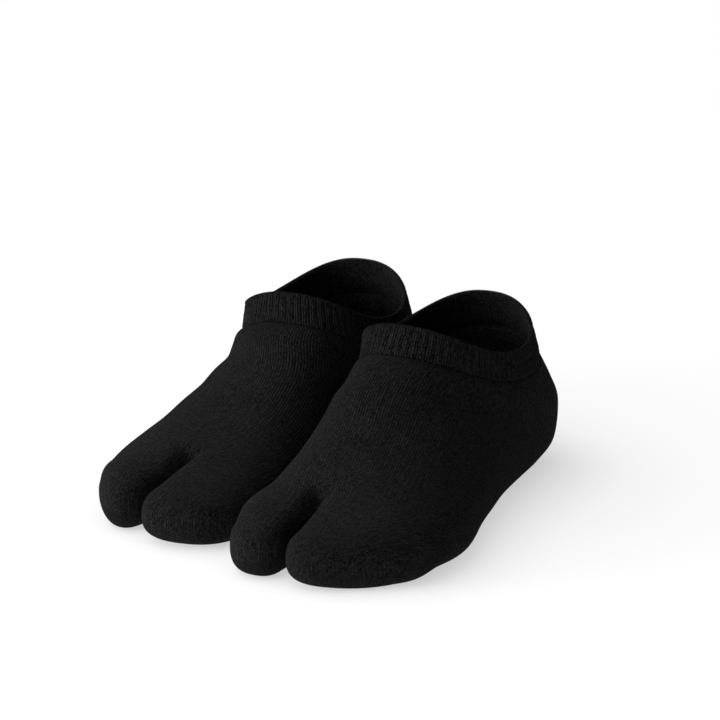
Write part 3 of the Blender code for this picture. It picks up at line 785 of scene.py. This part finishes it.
# ---------------------------------------------------------------- materials
class Nodes:
    """Short ways to add nodes to a material."""

    def __init__(self, name):
        self.look = bpy.data.materials.new(name)
        self.look.use_nodes = True
        self.tree = self.look.node_tree
        self.shader = self.tree.nodes["Principled BSDF"]

    def add(self, kind, **settings):
        node = self.tree.nodes.new(kind)
        for key, value in settings.items():
            setattr(node, key, value)
        return node

    def put(self, socket, value):
        if isinstance(value, bpy.types.NodeSocket):
            self.tree.links.new(value, socket)
        else:
            socket.default_value = value

    def maths(self, operation, *values):
        node = self.add("ShaderNodeMath", operation=operation)
        for socket, value in zip(node.inputs, values):
            self.put(socket, value)
        return node.outputs[0]

    def parts(self, vector):
        """The x, y and z of a vector."""
        node = self.add("ShaderNodeSeparateXYZ")
        self.put(node.inputs[0], vector)
        return node.outputs

    def noise(self, where, scale, detail=NOISE_DETAIL):
        node = self.add("ShaderNodeTexNoise")
        self.put(node.inputs["Vector"], where)
        node.inputs["Scale"].default_value = scale
        node.inputs["Detail"].default_value = detail
        return node.outputs["Fac"]

    def ramp(self, value, low, high, dark, light):
        node = self.add("ShaderNodeMapRange")
        self.put(node.inputs["Value"], value)
        for key, number in (("From Min", low), ("From Max", high), ("To Min", dark), ("To Max", light)):
            node.inputs[key].default_value = number
        return node.outputs["Result"]

    def mix(self, factor, first, second):
        node = self.add("ShaderNodeMix", data_type="RGBA")
        self.put(node.inputs["Factor"], factor)
        self.put(node.inputs[6], first)  # colours A and B, and the mixed colour
        self.put(node.inputs[7], second)
        return node.outputs[2]

    def bump(self, height, distance):
        node = self.add("ShaderNodeBump")
        self.put(node.inputs["Height"], height)
        node.inputs["Distance"].default_value = distance
        node.inputs["Strength"].default_value = 1.0
        return node.outputs["Normal"]


def knit_material(name, light, row_light, tuck=0.0, rib_wales=0):
    """Black cotton knit: two slanting legs to each stitch with painted shade between them, uneven stitches,
    fuzzy yarn and soft clouding.
    row_light: the light left by the painted shade between two rows of stitches.
    tuck: how much darker the painted shade makes the first row, where the foot tucks in under the cuff.
    rib_wales: the wales to a rib, with a line of painted shade between two ribs."""
    n = Nodes(name)
    uv = n.parts(n.add("ShaderNodeUVMap", uv_map="stitches").outputs["UV"])
    here = n.add("ShaderNodeTexCoord").outputs["Object"]
    wander = n.ramp(n.noise(here, WANDER_SCALE, WANDER_DETAIL), *NOISE_RANGE, *WANDER)
    wale = n.maths("ADD", uv[0], wander)
    stitch = stitch_light(n, wale, uv[1], wale_shade_strength(n, here), row_light)
    fuzz = n.noise(here, FUZZ_SCALE)
    # painted shade on the stitches, with a random tone from the fuzz and the clouding
    shade = n.maths("ADD", n.maths("MULTIPLY", stitch, STITCH_SHARE), n.ramp(fuzz, *NOISE_RANGE, *FUZZ))
    shade = n.maths("ADD", shade, n.ramp(n.noise(here, CLOUD_SCALE), *NOISE_RANGE, *CLOUD))
    # painted shade in the valleys between ribs
    if rib_wales:
        ribs = n.maths("COSINE", n.maths("MULTIPLY", wale, 2 * np.pi / rib_wales))
        shade = n.maths("MULTIPLY", shade, n.ramp(ribs, -1.0, RIB_TOP, RIB_VALLEY_SHADE, 1.0))
    # painted shade in the tuck under the cuff
    if tuck:
        shade = n.maths("MULTIPLY", shade, painted_tuck_shade(n, wale, uv[1], tuck))
    height = n.maths("ADD", stitch, n.maths("MULTIPLY", fuzz, FUZZ_HEIGHT))
    n.put(n.shader.inputs["Base Color"], n.mix(shade, (*KNIT_DARK, 1), (*light, 1)))
    n.put(n.shader.inputs["Normal"], n.bump(height, STITCH_HEIGHT))
    n.shader.inputs["Roughness"].default_value = 1.0
    n.shader.inputs["Specular IOR Level"].default_value = SPECULAR
    n.shader.inputs["Sheen Weight"].default_value = SHEEN
    n.shader.inputs["Sheen Roughness"].default_value = SHEEN_ROUGHNESS
    n.shader.inputs["Sheen Tint"].default_value = SHEEN_TINT
    return n.look


def wale_shade_strength(n, here):
    """How strong the painted shade in the lines between wales is: most near the cuff, and less to the toes
    and to the heel.
    """
    along = n.parts(here)[1]
    return n.maths("MULTIPLY", n.ramp(along, *CLEAR_FROM, *CLEAR), n.ramp(along, *HEEL_FROM, *HEEL_CLEAR))


def stitch_light(n, wale, course, edge_shade_strength, row_light):
    """The painted light and shade on the stitches, times a random tone for each stitch. Each leg of a
    stitch's V is a rounded strand that climbs away from its middle, painted darker along its edges and
    between two rows."""
    # -0.5 to 0.5 across a wale, 0 along its middle
    across = n.maths("SUBTRACT", n.maths("FRACT", n.maths("ADD", wale, 0.5)), 0.5)
    # painted shade along the edges of each wale
    wale_edge_shade = n.maths("SUBTRACT", 1.0, n.maths("COSINE", n.maths("MULTIPLY", across, np.pi)))
    leg = n.maths("SUBTRACT", 1.0, n.maths("MULTIPLY", wale_edge_shade, edge_shade_strength))
    climb = n.maths("SUBTRACT", course, n.maths("MULTIPLY", n.maths("ABSOLUTE", across), LEG_CLIMB))
    # painted shade between two rows of stitches
    row = n.ramp(n.maths("COSINE", n.maths("MULTIPLY", climb, 2 * np.pi)), -1.0, 1.0, row_light, 1.0)
    # no two stitches are quite alike
    cell = n.add("ShaderNodeCombineXYZ")
    n.put(cell.inputs[0], n.maths("FLOOR", n.maths("ADD", wale, 0.5)))
    n.put(cell.inputs[1], n.maths("FLOOR", climb))
    uneven = n.add("ShaderNodeTexWhiteNoise", noise_dimensions="2D")
    n.put(uneven.inputs["Vector"], cell.outputs[0])
    each = n.ramp(uneven.outputs["Value"], 0.0, 1.0, *STITCH_LIGHT)
    return n.maths("MULTIPLY", n.maths("MULTIPLY", leg, row), each)


def painted_tuck_shade(n, wale, course, dark):
    """The light left by the painted shade in the tuck under the cuff, which shows as a dark stroke at every
    other wale.
    """
    strokes = n.maths("COSINE", n.maths("MULTIPLY", wale, np.pi))
    stroke = n.ramp(strokes, -1.0, 1.0, dark, TUCK_SPARED * dark)
    return n.maths("SUBTRACT", 1.0, n.maths("MULTIPLY", stroke, n.ramp(course, *TUCK_ROWS, 1.0, 0.0)))


# ---------------------------------------------------------------- studio
def studio_floor():
    """A white floor that runs out of sight. It glows to stay white, and less so close to the socks, which is
    a painted contact shadow.
    """
    n = Nodes("studio_floor")
    n.shader.inputs["Base Color"].default_value = (FLOOR_GREY, FLOOR_GREY, FLOOR_GREY, 1)
    n.shader.inputs["Emission Color"].default_value = (1, 1, 1, 1)
    n.shader.inputs["Roughness"].default_value = 1.0
    n.shader.inputs["Specular IOR Level"].default_value = 0.0
    # painted contact shadow: the glow dims where the socks are close
    near = n.add("ShaderNodeAmbientOcclusion")
    near.inputs["Distance"].default_value = FLOOR_SHADE
    glow = n.ramp(near.outputs["AO"], 0.0, 1.0, FLOOR_DIM * FLOOR_GLOW, FLOOR_GLOW)
    n.put(n.shader.inputs["Emission Strength"], glow)
    half = STAGE_SIZE / 2
    mesh = bpy.data.meshes.new("studio_floor")
    corners = [(-half, -half, 0), (half, -half, 0), (half, half, 0), (-half, half, 0)]
    mesh.from_pydata(corners, [], [(0, 1, 2, 3)])
    mesh.materials.append(n.look)
    floor = added("studio_floor", mesh)
    floor.location.z = -STAGE_BELOW


def studio_sky():
    """Soft light from the photo's left, which dims towards its right."""
    world = bpy.data.worlds.new("studio_world")
    world.use_nodes = True
    tree = world.node_tree
    where = tree.nodes.new("ShaderNodeTexCoord")
    facing = tree.nodes.new("ShaderNodeVectorMath")
    facing.operation = "DOT_PRODUCT"
    tree.links.new(where.outputs["Generated"], facing.inputs[0])
    facing.inputs[1].default_value = Vector(SKY_FROM).normalized()
    glow = tree.nodes.new("ShaderNodeMapRange")
    glow.interpolation_type = "SMOOTHSTEP"
    tree.links.new(facing.outputs["Value"], glow.inputs["Value"])
    for key, number in zip(("From Min", "From Max", "To Min", "To Max"), SKY_SPAN + SKY):
        glow.inputs[key].default_value = number
    sky = tree.nodes["Background"]
    sky.inputs["Color"].default_value = (1.0, 1.0, 1.0, 1)
    tree.links.new(glow.outputs["Result"], sky.inputs["Strength"])
    bpy.context.scene.world = world


def area_light(name, place, size, power_w):
    """A round lamp that faces the socks."""
    lamp = bpy.data.lights.new(name, "AREA")
    lamp.shape = "DISK"
    lamp.size = size
    lamp.energy = power_w
    made = added(name, lamp)
    made.location = place
    made.rotation_euler = (Vector(LIGHTS_AT) - Vector(place)).to_track_quat("-Z", "Y").to_euler()


def camera():
    """The photo's camera, as it was fitted to both socks' outlines."""
    turn, rise = np.radians(CAMERA_TURN), np.radians(CAMERA_RISE)
    back = Vector((np.sin(turn) * np.cos(rise), -np.cos(turn) * np.cos(rise), np.sin(rise)))
    lens = bpy.data.cameras.new("camera")
    lens.sensor_width = SENSOR_WIDTH
    lens.lens = SENSOR_WIDTH * CAMERA_AWAY * PIXELS_PER_METRE / PICTURE_PIXELS
    lens.clip_start, lens.clip_end = CLIP_START, CLIP_END
    made = added("camera", lens)
    made.location = Vector(CAMERA_TARGET) + back * CAMERA_AWAY
    made.rotation_euler = (-back).to_track_quat("-Z", "Y").to_euler()
    bpy.context.scene.camera = made


# ---------------------------------------------------------------- the pair
def main():
    scene = bpy.context.scene
    scene.view_settings.view_transform = "Standard"
    scene.view_settings.look = "None"
    camera()
    studio_floor()
    studio_sky()
    area_light("key", KEY_PLACE, KEY_SIZE, KEY_POWER)
    area_light("front", FRONT_PLACE, FRONT_SIZE, FRONT_POWER)
    knit = knit_material("black_knit", KNIT_LIGHT, KNIT_ROW, tuck=TUCK_SHADE)
    rib = knit_material("black_rib", RIB_LIGHT, RIB_ROW, rib_wales=RIB_WALES)
    for side in ("left", "right"):
        foot = foot_piece(f"{side}_knitted_foot", side, knit)
        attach(foot, "root")
        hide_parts(f"{side}_foot")
        cuff = cuff_piece(f"{side}_ribbed_cuff", side, rib)
        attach(cuff, "root")
        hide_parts(f"{side}_cuff")


main()
